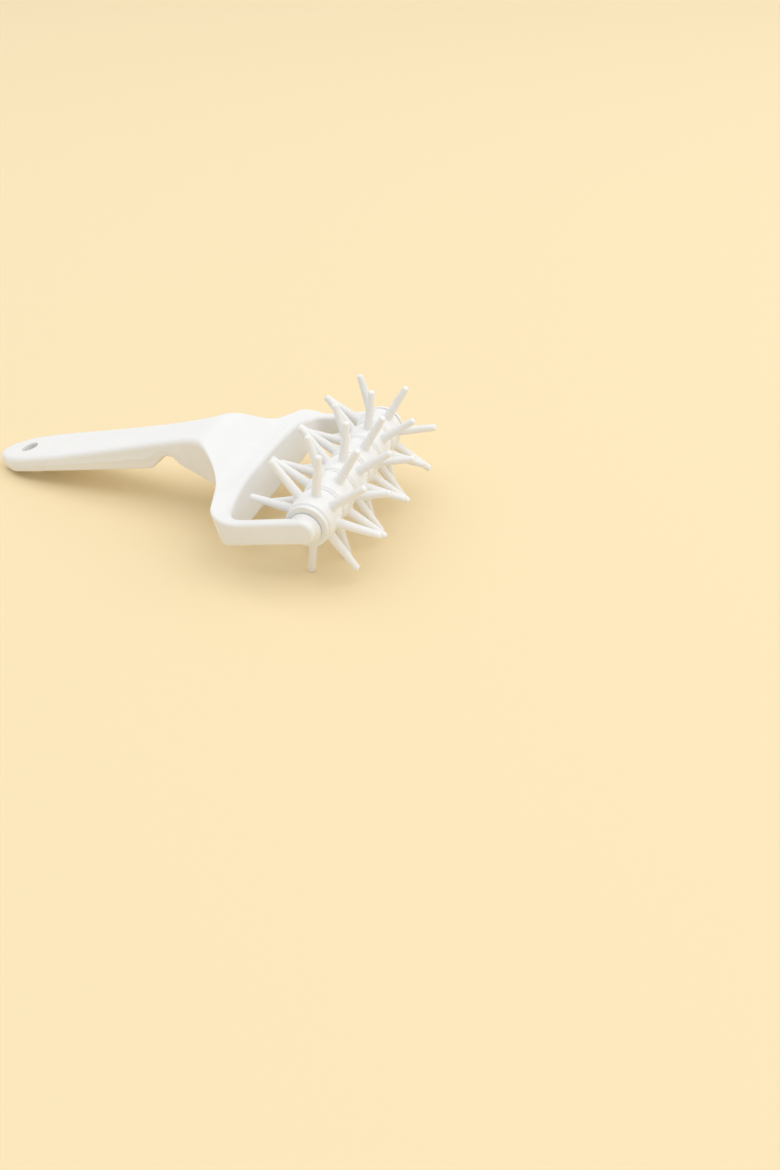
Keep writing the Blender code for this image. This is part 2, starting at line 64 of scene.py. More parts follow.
HUB_CROWN_RADIUS = 0.0102
HUB_SHOULDER_RADIUS = 0.0094
HUB_SHOULDER_ROUNDING = 0.0005
HUB_GROOVE_RADIUS = 0.0086
HUB_GROOVE_WIDTH = 0.0006
HUB_GROOVE_SLOPE = 0.0006
HUB_GROOVE_ROUNDING = 0.0003
HUB_END_ROUNDING = 0.00015
SPIKE_PATCH_HALF_LENGTH = 0.0050
BORE_SIDES = 8
BORE_ACROSS_FLATS = 0.0096
COLLAR_RADIUS = 0.0092
COLLAR_BORE_RADIUS = 0.0033
COLLAR_ROUNDING = 0.00035
SOCKET_RADIUS = 0.0033
SOCKET_DEPTH = 0.0033

# Yoke
ARM_THICKNESS = 0.00485
ARM_RADIUS = 0.00525
ARM_EDGE_RADIUS = 0.0017
KNUCKLE_RADIUS = 0.0071
KNUCKLE_LENGTH = 0.0030
KNUCKLE_PROUD = 0.0002
KNUCKLE_ROUNDING = 0.0005
KNUCKLE_SUNK_DEPTH = 0.0004
OPENING_BACK = 0.0343
OPENING_CORNER_RADIUS = 0.0045
SHOULDER_CORNER_DEPTH = 0.0060
SHOULDER_CORNER_RADIUS = 0.0080
SHOULDER_ANGLE = math.radians(14.5)
YOKE_CROWN_HEIGHT = 0.0053
YOKE_CROWN_HALF_WIDTH = 0.0407
YOKE_CROWN_POWER = 3.5
YOKE_CROWN_END = 0.0448

# Handle, with distances along it measured back from the axle
HANDLE_REACH = 0.1815
HANDLE_TIP_HALF_WIDTH = 0.0045
HANDLE_TIP_RADIUS = 0.0060
HANDLE_SHOULDER_REACH = 0.1700
HANDLE_SHOULDER_HALF_WIDTH = 0.0114
HANDLE_SHOULDER_RADIUS = 0.0150
GRIP_REACH = 0.1530
GRIP_HALF_WIDTH = 0.0131
GRIP_CURVE_RADIUS = 0.1500
WAIST_REACH = 0.0880
WAIST_HALF_WIDTH = 0.0103
WAIST_CURVE_RADIUS = 0.1800
NECK_HALF_WIDTH = 0.0112
NECK_FILLET_RADIUS = 0.0290
HANDLE_TOP_EDGE_RADIUS = 0.0026
HANDLE_UNDER_EDGE_RADIUS = 0.0016

# Heights of the frame's top, above the arms
TOP_RISE = 0.0205
TOP_RISE_START = 0.0268
TOP_RISE_END = 0.0665
TOP_RISE_POWER = 1.06
NECK_HUMP = 0.0034
NECK_HUMP_MIDDLE = 0.0539
NECK_HUMP_HALF_LENGTH = 0.0121
TOP_FALL = 0.0034

# Heights of the frame's underside
UNDER_CROSSBAR_RISE = 0.0100
UNDER_CROSSBAR_START = 0.0420
UNDER_CROSSBAR_END = 0.0560
UNDER_NECK_RISE = 0.0097
UNDER_NECK_START = 0.0580
UNDER_NECK_END = 0.0770
UNDER_NECK_POWER = 1.6
FINGER_HOLLOW = 0.0030
FINGER_HOLLOW_MIDDLE = 0.0805
FINGER_HOLLOW_HALF_LENGTH = 0.0060
FINGER_STEP = 0.0025
FINGER_STEP_START = 0.0860
FINGER_STEP_END = 0.0915
UNDER_TAPER = 0.0030
UNDER_TAPER_END = 0.1500

# Hang hole and mould marks
HANG_HOLE_RADIUS = 0.0040
HANG_HOLE_ROUNDING = 0.0006
HANG_HOLE_FROM_END = 0.0165
CUT_OVERRUN = 0.0010
PARTING_RIDGE_HEIGHT = 0.00006
PARTING_RIDGE_HALF_WIDTH = 0.00016
PARTING_RIDGE_FULL = 0.0900
PARTING_RIDGE_WALL_SHARE = 0.25

# Fineness of the meshes
LONG_STEP = 0.0020
NECK_STEP = 0.0010
ARM_END_STEP = 0.0004
ARC_STEP = math.radians(4.0)
EDGE_STEPS = 7
CAP_GRID_STEP = 0.0024
CAP_GRID_MARGIN_SHARE = 0.45
QUARTER_STEPS = 10
FOOT_STEPS = 7
PATCH_STEPS = 3
SPIKE_STEPS = 6
POINT_STEPS = 5
COLLAR_SIDES = 96
MERGE_DISTANCE = 0.000001
SLIVER_DISTANCE = 0.00002
SMOOTH_ANGLE = math.radians(40.0)

# Finishes: tone, shade, roughness and strength of the mould's grain
FRAME_FINISH = ((0.86, 0.86, 0.85), (0.84, 0.84, 0.83), 0.42, 0.35)
RING_FINISH = ((0.88, 0.88, 0.87), (0.86, 0.86, 0.855), 0.36, 0.2)
COLLAR_FINISH = ((0.86, 0.86, 0.85), (0.84, 0.84, 0.83), 0.40, 0.25)

# Patterns in the plastic, with scales per metre and heights in metres
CLOUD_SCALE = 60.0
CLOUD_DETAIL = 4.0
CLOUD_ROUGHNESS = 0.55
CLOUD_SHADE_POSITION = 0.35
CLOUD_TONE_POSITION = 0.65
SMEAR_SCALE = 220.0
SMEAR_DETAIL = 6.0
SMEAR_DISTORTION = 0.6
SMEAR_LOW = 0.3
SMEAR_HIGH = 0.7
SMEAR_GLOSSIER = 0.06
SMEAR_DULLER = 0.08
GRAIN_SCALE = 2600.0
GRAIN_DETAIL = 3.0
GRAIN_HEIGHT = 0.00003
WAVE_SCALE = 160.0
WAVE_DETAIL = 2.0
WAVE_STRENGTH = 0.25
WAVE_HEIGHT = 0.0002

# The plastic under its surface
PLASTIC_IOR = 1.49
SUBSURFACE_WEIGHT = 0.12
SUBSURFACE_RADIUS = (1.0, 0.9, 0.8)
SUBSURFACE_SCALE = 0.0015

# Floor, light and camera. A lamp is its name, (azimuth, elevation) in degrees, distance, size and power,
# and the camera's turn is in degrees.
FLOOR_HALF_SIZE = 1.5
FLOOR_ROUGHNESS = 0.85
FLOOR_COLOUR = (0.90, 0.737, 0.456)
ROOM_COLOUR = (1.0, 1.0, 1.0)
ROOM_STRENGTH = 0.65
BACKDROP_COLOUR = (1.0, 1.0, 1.0)
LAMPS = (
    ("window", (185.0, 72.0), 3.0, 3.0, 26.0),
    ("far_fill", (-15.0, 50.0), 3.0, 3.0, 35.0),
)
SENSOR_WIDTH = 36.0
LENS = 33.05
CLIP_START = 0.01
CAMERA_FROM_AXLE = (0.35714, 0.15850, 0.23799)
CAMERA_TURN = (52.5565, 1.3656, 110.5013)

# Values that follow from the frame
AXLE = Vector(frame["joints"][0]["pos_m"])
HANG_FACE = next(mount for mount in frame["record"]["mounts"] if mount["name"] == "hang_face")
TILT = math.atan2(HANG_FACE["axis"][1], -HANG_FACE["axis"][2])
FRAME_PLACE = Matrix.Translation(AXLE) @ Matrix.Rotation(TILT, 4, "X")
RING_NAMES = sorted(name for name in frame["nodes"] if name.startswith("star_ring_"))
SECTOR_HALF_ANGLE = math.pi / SPIKES_PER_RING
RING_HALF_WIDTH = (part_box(RING_NAMES[0])[1].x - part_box(RING_NAMES[0])[0].x) / 2
ARM_OUTER_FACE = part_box("frame")[1].x
ARM_INNER_FACE = ARM_OUTER_FACE - ARM_THICKNESS
KNUCKLE_FACE = ARM_INNER_FACE - KNUCKLE_PROUD


# Mesh helpers

def finished_mesh(name, bm, merge_distance=MERGE_DISTANCE):
    """Turn an edited mesh into a closed, smoothly shaded one whose faces point out."""
    bmesh.ops.remove_doubles(bm, verts=bm.verts, dist=merge_distance)
    bmesh.ops.dissolve_degenerate(bm, edges=bm.edges, dist=merge_distance)
    bmesh.ops.recalc_face_normals(bm, faces=bm.faces)
    mesh = bpy.data.meshes.new(name)
    bm.to_mesh(mesh)
    bm.free()
    mesh.shade_smooth()
    mesh.set_sharp_from_angle(angle=SMOOTH_ANGLE)
    return mesh


def new_object(name, mesh):
    piece = bpy.data.objects.new(name, mesh)
    bpy.context.scene.collection.objects.link(piece)
    return piece


def placed(mesh, place):
    """A copy of a mesh, moved to its place in the frame."""
    copy = mesh.copy()
    copy.transform(place)
    return copy


def bridge(bm, lower, upper, closed=True):
    """Quads between two rows of vertices."""
    count = len(lower) if closed else len(lower) - 1
    for index in range(count):
        following = (index + 1) % len(lower)
        bm.faces.new((lower[index], lower[following], upper[following], upper[index]))


def turned_mesh(name, profile, sides):
    """A closed profile of (x, radius) turned about the X axis."""
    bm = bmesh.new()
    loops = []
    for x, radius in profile:
        angles = [2 * math.pi * side / sides for side in range(sides)]
        loops.append([bm.verts.new((x, radius * math.sin(a), radius * math.cos(a))) for a in angles])
    for first, second in zip(loops, loops[1:] + loops[:1]):
        bridge(bm, first, second)
    return finished_mesh(name, bm)


def stepped(first, last, step):
    """Points from first up to, and without, last, no further apart than step."""
    count = max(1, math.ceil((last - first).length / step))
    return [first.lerp(last, index / count) for index in range(count)]


def rounded_path(corners):
    """A path through corners of (x, y, radius, step), with an arc of that radius at each.

    The step is the longest allowed along the path from that corner on.
    """
    path = []
    start = Vector(corners[0][:2])
    for before, corner, after in zip(corners, corners[1:], corners[2:]):
        here = Vector(corner[:2])
        arriving = (here - Vector(before[:2])).normalized()
        leaving = (Vector(after[:2]) - here).normalized()
        turn = arriving.angle_signed(leaving)
        radius = corner[2]
        tangent = radius * math.tan(abs(turn) / 2)
        arc_start = here - arriving * tangent
        path += stepped(start, arc_start, before[3])
        start = here + leaving * tangent
        if radius > 0:
            across = Vector((arriving.y, -arriving.x)) * math.copysign(radius, turn)
            count = max(math.ceil(abs(turn) / ARC_STEP), math.ceil(abs(turn) * radius / before[3]))
            for index in range(count):
                swing = Matrix.Rotation(-turn * index / count, 2)
                path.append(arc_start + across - swing @ across)
    path += stepped(start, Vector(corners[-1][:2]), corners[-2][3])
    path.append(Vector(corners[-1][:2]))
    return path


# Frame moulding

def clamped(value):
    return max(0.0, min(1.0, value))


def share_between(value, start, end):
    return clamped((value - start) / (end - start))


def eased(share):
    return share * share * (3 - 2 * share)


def top_level(x, back):
    """Height of the frame's top above the axle, a distance back from it and x to the side."""
    rise = eased(share_between(back, TOP_RISE_START, TOP_RISE_END)) ** TOP_RISE_POWER
    fall = 1 - (1 - share_between(back, TOP_RISE_END, HANDLE_REACH)) ** 2
    crown = 1 - clamped(abs(x) / YOKE_CROWN_HALF_WIDTH) ** YOKE_CROWN_POWER
    crown *= 1 - eased(share_between(back, OPENING_BACK, YOKE_CROWN_END))
    hump = eased(clamped(1 - abs(back - NECK_HUMP_MIDDLE) / NECK_HUMP_HALF_LENGTH))
    yoke = ARM_RADIUS + crown * YOKE_CROWN_HEIGHT
    return yoke + rise * TOP_RISE + hump * NECK_HUMP - fall * TOP_FALL


def under_level(back):
    """Height of the frame's underside, with the hollow and the step that stop the fingers."""
    crossbar = eased(share_between(back, UNDER_CROSSBAR_START, UNDER_CROSSBAR_END))
    neck = share_between(back, UNDER_NECK_START, UNDER_NECK_END) ** UNDER_NECK_POWER
    step = eased(share_between(back, FINGER_STEP_START, FINGER_STEP_END))
    taper = share_between(back, FINGER_STEP_END, UNDER_TAPER_END)
    hollow = clamped(1 - ((back - FINGER_HOLLOW_MIDDLE) / FINGER_HOLLOW_HALF_LENGTH) ** 2)
    rise = crossbar * UNDER_CROSSBAR_RISE + neck * UNDER_NECK_RISE + hollow * FINGER_HOLLOW
    return -ARM_RADIUS + rise - step * FINGER_STEP + taper * UNDER_TAPER


def edge_radius(back, side):
    """Radius of the outline's edges, which grows from the arms to the handle."""
    growth = eased(share_between(back, TOP_RISE_START, TOP_RISE_END))
    handle_radius = HANDLE_TOP_EDGE_RADIUS if side > 0 else HANDLE_UNDER_EDGE_RADIUS
    return ARM_EDGE_RADIUS + growth * (handle_radius - ARM_EDGE_RADIUS)


def frame_height(x, y, side, drop):
    """Height of the top (side 1) or the underside (side -1), less its edge rounding's drop.

    Past the axle the arm is a disc with rounded rims, so its height follows from x and y alone.
    """
    if y > 0:
        from_face = clamped(min(ARM_OUTER_FACE - abs(x), abs(x) - ARM_INNER_FACE) / ARM_EDGE_RADIUS)
        rim_drop = ARM_EDGE_RADIUS * (1 - math.sqrt(1 - (1 - from_face) ** 2))
        reach = ARM_RADIUS - rim_drop
        return side * math.sqrt(max(0.0, reach * reach - y * y))
    if side > 0:
        return top_level(x, -y) - drop
    return under_level(-y) + drop


def frame_outline():
    """The frame seen from above, anticlockwise from the end of the handle."""
    neck_run = ARM_OUTER_FACE - NECK_HALF_WIDTH
    corner_back = OPENING_BACK + SHOULDER_CORNER_DEPTH
    neck_back = corner_back + neck_run * math.tan(SHOULDER_ANGLE)
    corners = [
        (0.0, -HANDLE_REACH, 0.0, LONG_STEP),
        (HANDLE_TIP_HALF_WIDTH, -HANDLE_REACH, HANDLE_TIP_RADIUS, LONG_STEP),
        (HANDLE_SHOULDER_HALF_WIDTH, -HANDLE_SHOULDER_REACH, HANDLE_SHOULDER_RADIUS, LONG_STEP),
        (GRIP_HALF_WIDTH, -GRIP_REACH, GRIP_CURVE_RADIUS, LONG_STEP),
        (WAIST_HALF_WIDTH, -WAIST_REACH, WAIST_CURVE_RADIUS, NECK_STEP),
        (NECK_HALF_WIDTH, -neck_back, NECK_FILLET_RADIUS, NECK_STEP),
        (ARM_OUTER_FACE, -corner_back, SHOULDER_CORNER_RADIUS, LONG_STEP),
        (ARM_OUTER_FACE, 0.0, 0.0, ARM_END_STEP),
        (ARM_OUTER_FACE, ARM_RADIUS, ARM_EDGE_RADIUS, ARM_END_STEP),
        (ARM_INNER_FACE, ARM_RADIUS, ARM_EDGE_RADIUS, ARM_END_STEP),
        (ARM_INNER_FACE, 0.0, 0.0, LONG_STEP),
        (ARM_INNER_FACE, -OPENING_BACK, OPENING_CORNER_RADIUS, LONG_STEP),
        (0.0, -OPENING_BACK, 0.0, LONG_STEP),
    ]
    right_half = rounded_path(corners)
    left_half = [Vector((-point.x, point.y)) for point in reversed(right_half[1:-1])]
    return right_half + left_half


def inward_directions(outline):
    """The direction into the material at each point of the outline."""
    directions = []
    for index, point in enumerate(outline):
        before = (point - outline[index - 1]).normalized()
        after = (outline[(index + 1) % len(outline)] - point).normalized()
        along = (before + after).normalized()
        directions.append(Vector((-along.y, along.x)))
    return directions


def is_inside(point, outline):
    inside = False
    for index, first in enumerate(outline):
        second = outline[index - 1]
        if (first.y > point.y) != (second.y > point.y):
            crossing = first.x + (point.y - first.y) / (second.y - first.y) * (second.x - first.x)
            inside ^= point.x < crossing
    return inside


def distance_to(point, outline):
    nearest = math.inf
    for index, first in enumerate(outline):
        second = outline[index - 1]
        share = clamped(intersect_point_line(point, first, second)[1])
        nearest = min(nearest, (point - first.lerp(second, share)).length)
    return nearest


def grid_points(outline):
    """A regular grid inside the outline, kept off its edge."""
    margin = CAP_GRID_STEP * CAP_GRID_MARGIN_SHARE
    columns = int(ARM_OUTER_FACE / CAP_GRID_STEP)
    rows = int(HANDLE_REACH / CAP_GRID_STEP)
    points = []
    for row in range(rows + 1):
        for column in range(-columns, columns + 1):
            point = Vector((column * CAP_GRID_STEP, -row * CAP_GRID_STEP))
            if is_inside(point, outline) and distance_to(point, outline) > margin:
                points.append(point)
    return points


def edge_belts(outline, inward):
    """Rounded rims of the underside and of the top, as loops round the frame from low to high."""
    quarter_steps = [math.pi / 2 * step / EDGE_STEPS for step in range(EDGE_STEPS + 1)]
    turns = [(-1, angle) for angle in reversed(quarter_steps)] + [(1, angle) for angle in quarter_steps]
    belts = []
    for side, angle in turns:
        belt = []
        for point, direction in zip(outline, inward):
            radius = edge_radius(-point.y, side)
            spot = point + direction * radius * (1 - math.cos(angle))
            drop = radius * (1 - math.sin(angle))
            belt.append(Vector((spot.x, spot.y, frame_height(spot.x, spot.y, side, drop))))
        belts.append(belt)
    return belts


def parting_belts(lower, upper, inward):
    """The fine ridge that the mould's two halves leave half way up the handle's wall.

    It fades out over the neck, so the yoke is smooth.
    """
    belts = []
    for level, proud in ((-1, 0.0), (0, 1.0), (1, 0.0)):
        belt = []
        for low, high, direction in zip(lower, upper, inward):
            spot = low.lerp(high, 0.5)
            spot.z += level * min(PARTING_RIDGE_HALF_WIDTH, (high.z - low.z) * PARTING_RIDGE_WALL_SHARE)
            height = PARTING_RIDGE_HEIGHT * eased(share_between(-low.y, TOP_RISE_END, PARTING_RIDGE_FULL))
            belt.append(spot - direction.to_3d() * height * proud)
        belts.append(belt)
    return belts


def add_cap(bm, belt, side):
    """Close the top or the underside with a triangulated grid."""
    border = []
    for point in belt:
        flat = point.to_2d()
        if not border or (flat - border[-1]).length > MERGE_DISTANCE:
            border.append(flat)
    points = border + grid_points(border)
    spots, _, faces, _, _, _ = delaunay_2d_cdt(points, [], [list(range(len(border)))], 1, MERGE_DISTANCE)
    verts = []
    for spot in spots:
        height = frame_height(spot.x, spot.y, side, 0.0)
        verts.append(bm.verts.new((spot.x, spot.y, height)))
    for face in faces:
        corners = [verts[index] for index in face]
        bm.faces.new(corners if side > 0 else reversed(corners))


def frame_blank():
    """The handle, the crossbar and both arms, before the holes are cut."""
    outline = frame_outline()
    inward = inward_directions(outline)
    belts = edge_belts(outline, inward)
    middle = len(belts) // 2
    belts[middle:middle] = parting_belts(belts[middle - 1], belts[middle], inward)
    bm = bmesh.new()
    loops = [[bm.verts.new(point) for point in belt] for belt in belts]
    for lower, upper in zip(loops, loops[1:]):
        bridge(bm, lower, upper)
    add_cap(bm, belts[0], -1)
    add_cap(bm, belts[-1], 1)
    return finished_mesh("frame_blank", bm)


def knuckle_mesh(side):
    """The arm's thick end, widest at the collar and tapered until it is gone into the arm."""
    end = KNUCKLE_FACE + KNUCKLE_LENGTH
    corners = [
        (KNUCKLE_FACE, 0.0, 0.0, KNUCKLE_RADIUS),
        (KNUCKLE_FACE, KNUCKLE_RADIUS, KNUCKLE_ROUNDING, KNUCKLE_RADIUS),
        (end, ARM_RADIUS - KNUCKLE_SUNK_DEPTH, 0.0, KNUCKLE_RADIUS),
        (end, 0.0, 0.0, KNUCKLE_RADIUS),
    ]
    profile = [(side * spot.x, spot.y) for spot in rounded_path(corners)]
    return turned_mesh("knuckle", profile, COLLAR_SIDES)


def socket_mesh(side):
    """The blind hole in an arm's knuckle that a journal turns in."""
    mouth = side * (KNUCKLE_FACE - CUT_OVERRUN)
    floor = side * (KNUCKLE_FACE + SOCKET_DEPTH)
    profile = [(mouth, 0.0), (mouth, SOCKET_RADIUS), (floor, SOCKET_RADIUS), (floor, 0.0)]
    return turned_mesh("socket", profile, COLLAR_SIDES)


def hang_hole_mesh():
    """The hole through the handle's end, flared where it meets both faces."""
    back = HANDLE_REACH - HANG_HOLE_FROM_END
    bottom = under_level(back)
    top = top_level(0.0, back)
    wide = HANG_HOLE_RADIUS + HANG_HOLE_ROUNDING
    quarter = [math.pi / 2 * step / EDGE_STEPS for step in range(EDGE_STEPS + 1)]
    flare = [(1 - math.cos(angle), wide - HANG_HOLE_ROUNDING * math.sin(angle)) for angle in quarter]
    profile = [(bottom - CUT_OVERRUN, 0.0), (bottom - CUT_OVERRUN, wide)]
    profile += [(bottom + HANG_HOLE_ROUNDING * depth, radius) for depth, radius in flare]
    profile += [(top - HANG_HOLE_ROUNDING * depth, radius) for depth, radius in reversed(flare)]
    profile += [(top + CUT_OVERRUN, wide), (top + CUT_OVERRUN, 0.0)]
    mesh = turned_mesh("hang_hole", profile, COLLAR_SIDES)
    mesh.transform(Matrix.Translation((0.0, -back, 0.0)) @ Matrix.Rotation(-math.pi / 2, 4, "Y"))
    return mesh


def frame_moulding_mesh():
    """The finished frame, with its knuckles joined on and its sockets and hang hole cut out."""
    blank = new_object("frame_blank", frame_blank())
    steps = [(knuckle_mesh(1), "UNION"), (knuckle_mesh(-1), "UNION")]
    steps += [(mesh, "DIFFERENCE") for mesh in (socket_mesh(1), socket_mesh(-1), hang_hole_mesh())]
    shapes = []
    for mesh, operation in steps:
        shape = new_object(mesh.name, mesh)
        shapes.append(shape)
        modifier = blank.modifiers.new(mesh.name, "BOOLEAN")
        modifier.operation = operation
        modifier.solver = "EXACT"
        modifier.object = shape
    bpy.context.view_layer.update()
    bm = bmesh.new()
    bm.from_object(blank, bpy.context.evaluated_depsgraph_get())
    for shape in shapes + [blank]:
        bpy.data.objects.remove(shape, do_unlink=True)
    return finished_mesh("frame_moulding", bm, SLIVER_DISTANCE)


# Ring mouldings

def hub_radius(x):
    """Radius of the hub's crowned part."""
    shoulder = RING_HALF_WIDTH - HUB_GROOVE_WIDTH - HUB_GROOVE_SLOPE
    return HUB_CROWN_RADIUS - (HUB_CROWN_RADIUS - HUB_SHOULDER_RADIUS) * (x / shoulder) ** 2


def patch_border():
    """The edge of one spike's patch of hub, as (x, angle) round the spike, from the +X side."""
    edge = SPIKE_PATCH_HALF_LENGTH
    corner_turn = math.atan2(HUB_CROWN_RADIUS * SECTOR_HALF_ANGLE, edge)
    corner_step = round(QUARTER_STEPS * corner_turn / (math.pi / 2))
    quarter = []
    for step in range(QUARTER_STEPS):
        if step <= corner_step:
            quarter.append((edge, SECTOR_HALF_ANGLE * step / corner_step))
        else:
            share = (step - corner_step) / (QUARTER_STEPS - corner_step)
            quarter.append((edge * (1 - share), SECTOR_HALF_ANGLE))
    half = quarter + [(0.0, SECTOR_HALF_ANGLE)] + [(-x, angle) for x, angle in reversed(quarter[1:])]
    return half + [(-x, -angle) for x, angle in half]


def hub_point(x, angle):
    radius = hub_radius(x)
    return Vector((x, radius * math.sin(angle), radius * math.cos(angle)))


def spike_rows():
    """Rows of points round one spike that stands along +Z, from the patch's border to its point."""
    border = [hub_point(x, angle) for x, angle in patch_border()]
    turns = [2 * math.pi * index / len(border) for index in range(len(border))]
    rows = [border]
    for step in range(1, PATCH_STEPS):
        share = step / PATCH_STEPS
        row = []
        for outer, turn in zip(border, turns):
            x = outer.x + share * (SPIKE_FOOT_RADIUS * math.cos(turn) - outer.x)
            y = outer.y + share * (SPIKE_FOOT_RADIUS * math.sin(turn) - outer.y)
            row.append(Vector((x, y, math.sqrt(hub_radius(x) ** 2 - y * y))))
        rows.append(row)
    for step in range(FOOT_STEPS + 1):
        angle = math.pi / 2 * step / FOOT_STEPS
        reach = SPIKE_FOOT_RADIUS - (SPIKE_FOOT_RADIUS - SPIKE_ROOT_RADIUS) * math.sin(angle)
        lift = 1 - math.cos(angle)
        row = []
        for turn in turns:
            x = reach * math.cos(turn)
            y = reach * math.sin(turn)
            ground = math.sqrt(hub_radius(x) ** 2 - y * y)
            ground += (HUB_CROWN_RADIUS - ground) * lift
            row.append(Vector((x, y, ground + SPIKE_FOOT_HEIGHT * lift)))
        rows.append(row)
    start = HUB_CROWN_RADIUS + SPIKE_FOOT_HEIGHT
    end = SPIKE_TIP_RADIUS - SPIKE_POINT_ROUNDING
    for step in range(1, SPIKE_STEPS + 1):
        share = step / SPIKE_STEPS
        radius = SPIKE_ROOT_RADIUS + (SPIKE_POINT_RADIUS - SPIKE_ROOT_RADIUS) * share
        height = start + (end - start) * share
        rows.append([Vector((radius * math.cos(turn), radius * math.sin(turn), height)) for turn in turns])
    flat = SPIKE_POINT_RADIUS - SPIKE_POINT_ROUNDING
    for step in range(1, POINT_STEPS + 1):
        angle = math.pi / 2 * step / POINT_STEPS
        radius = flat + SPIKE_POINT_ROUNDING * math.cos(angle)
        height = end + SPIKE_POINT_ROUNDING * math.sin(angle)
        rows.append([Vector((radius * math.cos(turn), radius * math.sin(turn), height)) for turn in turns])
    return rows


def hub_end_profile():
    """The hub's outside from the spikes' patch to its end face, as (x, radius)."""
    shoulder = RING_HALF_WIDTH - HUB_GROOVE_WIDTH - HUB_GROOVE_SLOPE
    groove = RING_HALF_WIDTH - HUB_GROOVE_WIDTH
    step = HUB_GROOVE_WIDTH / 2
    corners = [
        (SPIKE_PATCH_HALF_LENGTH, hub_radius(SPIKE_PATCH_HALF_LENGTH), 0.0, step),
        (shoulder, HUB_SHOULDER_RADIUS, HUB_SHOULDER_ROUNDING, step),
        (groove, HUB_GROOVE_RADIUS, HUB_GROOVE_ROUNDING, step),
        (RING_HALF_WIDTH, HUB_GROOVE_RADIUS, HUB_END_ROUNDING, step),
        (RING_HALF_WIDTH, BORE_ACROSS_FLATS / 2 + HUB_GROOVE_SLOPE, 0.0, HUB_GROOVE_RADIUS),
    ]
    return rounded_path(corners)


def bore_radius(angle):
    """Radius of the keyed bore in a direction, for a bore with a corner at angle zero."""
    corner_angle = 2 * math.pi / BORE_SIDES
    return BORE_ACROSS_FLATS / 2 / math.cos(angle % corner_angle - corner_angle / 2)


def add_hub_end(bm, side):
    """One end of the hub, out from the spikes' patches and in to the middle of the keyed bore."""
    count = len([x for x, angle in patch_border() if x == SPIKE_PATCH_HALF_LENGTH]) - 1
    angles = [2 * SECTOR_HALF_ANGLE * (step / count - 0.5) for step in range(count * SPIKES_PER_RING)]
    loops = []
    for spot in hub_end_profile():
        points = [(side * spot.x, spot.y * math.sin(angle), spot.y * math.cos(angle)) for angle in angles]
        loops.append([bm.verts.new(point) for point in points])
    for x in (RING_HALF_WIDTH, 0.0):
        points = []
        for angle in angles:
            radius = bore_radius(angle + SECTOR_HALF_ANGLE / 2)
            points.append((side * x, radius * math.sin(angle), radius * math.cos(angle)))
        loops.append([bm.verts.new(point) for point in points])
    for first, second in zip(loops, loops[1:]):
        bridge(bm, first, second)


def ring_moulding_mesh():
    """A grooved hub with its spikes, one of which stands along +Z."""
    rows = spike_rows()
    bm = bmesh.new()
    for spike in range(SPIKES_PER_RING):
        turn = Matrix.Rotation(2 * SECTOR_HALF_ANGLE * spike, 4, "X")
        loops = [[bm.verts.new(turn @ point) for point in row] for row in rows]
        for lower, upper in zip(loops, loops[1:]):
            bridge(bm, lower, upper)
        bm.faces.new(loops[-1])
    add_hub_end(bm, 1)
    add_hub_end(bm, -1)
    return finished_mesh("ring_moulding", bm)


def spike_direction(node):
    """The angle about the axle, from +Z towards -Y, of one of a ring's spikes."""
    reach = [vertex.co - AXLE for vertex in frame["nodes"][node].data.vertices]
    furthest = max(math.hypot(spot.y, spot.z) for spot in reach)
    total = Vector((0.0, 0.0))
    for spot in reach:
        if math.hypot(spot.y, spot.z) > furthest - SPIKE_POINT_ROUNDING:
            angle = SPIKES_PER_RING * math.atan2(-spot.y, spot.z)
            total += Vector((math.cos(angle), math.sin(angle)))
    return math.atan2(total.y, total.x) / SPIKES_PER_RING


def add_rings():
    """The ring mouldings, each placed and turned as its solid in the frame is."""
    mesh = ring_moulding_mesh()
    pieces = []
    for node in RING_NAMES:
        low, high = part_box(node)
        place = Matrix.Translation(((low.x + high.x) / 2, AXLE.y, AXLE.z))
        turn = Matrix.Rotation(spike_direction(node), 4, "X")
        piece = new_object(f"{node}_moulding", placed(mesh, place @ turn))
        pieces.append(piece)
        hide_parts(node)
        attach(piece, "roller")
    return pieces


def add_collars():
    """The two thrust collars, with rounded rims."""
    pieces = []
    for node in ("end_collar_right", "end_collar_left"):
        low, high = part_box(node)
        half = (high.x - low.x) / 2
        corners = [
            (-half, COLLAR_BORE_RADIUS, 0.0, COLLAR_RADIUS),
            (-half, COLLAR_RADIUS, COLLAR_ROUNDING, COLLAR_RADIUS),
            (half, COLLAR_RADIUS, COLLAR_ROUNDING, COLLAR_RADIUS),
            (half, COLLAR_BORE_RADIUS, 0.0, COLLAR_RADIUS),
        ]
        mesh = turned_mesh(f"{node}_disc", rounded_path(corners), COLLAR_SIDES)
        place = Matrix.Translation(((low.x + high.x) / 2, AXLE.y, AXLE.z))
        piece = new_object(f"{node}_disc", placed(mesh, place))
        pieces.append(piece)
        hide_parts(node)
        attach(piece, "roller")
    return pieces


# Finishes

def noise(tree, place, scale, detail):
    """A noise pattern that lies in the piece's own space."""
    pattern = tree.nodes.new("ShaderNodeTexNoise")
    pattern.inputs["Scale"].default_value = scale
    pattern.inputs["Detail"].default_value = detail
    tree.links.new(place.outputs["Object"], pattern.inputs["Vector"])
    return pattern


def bump(tree, pattern, strength, height):
    """Relief from a noise pattern."""
    relief = tree.nodes.new("ShaderNodeBump")
    relief.inputs["Strength"].default_value = strength
    relief.inputs["Distance"].default_value = height
    tree.links.new(pattern.outputs["Fac"], relief.inputs["Height"])
    return relief


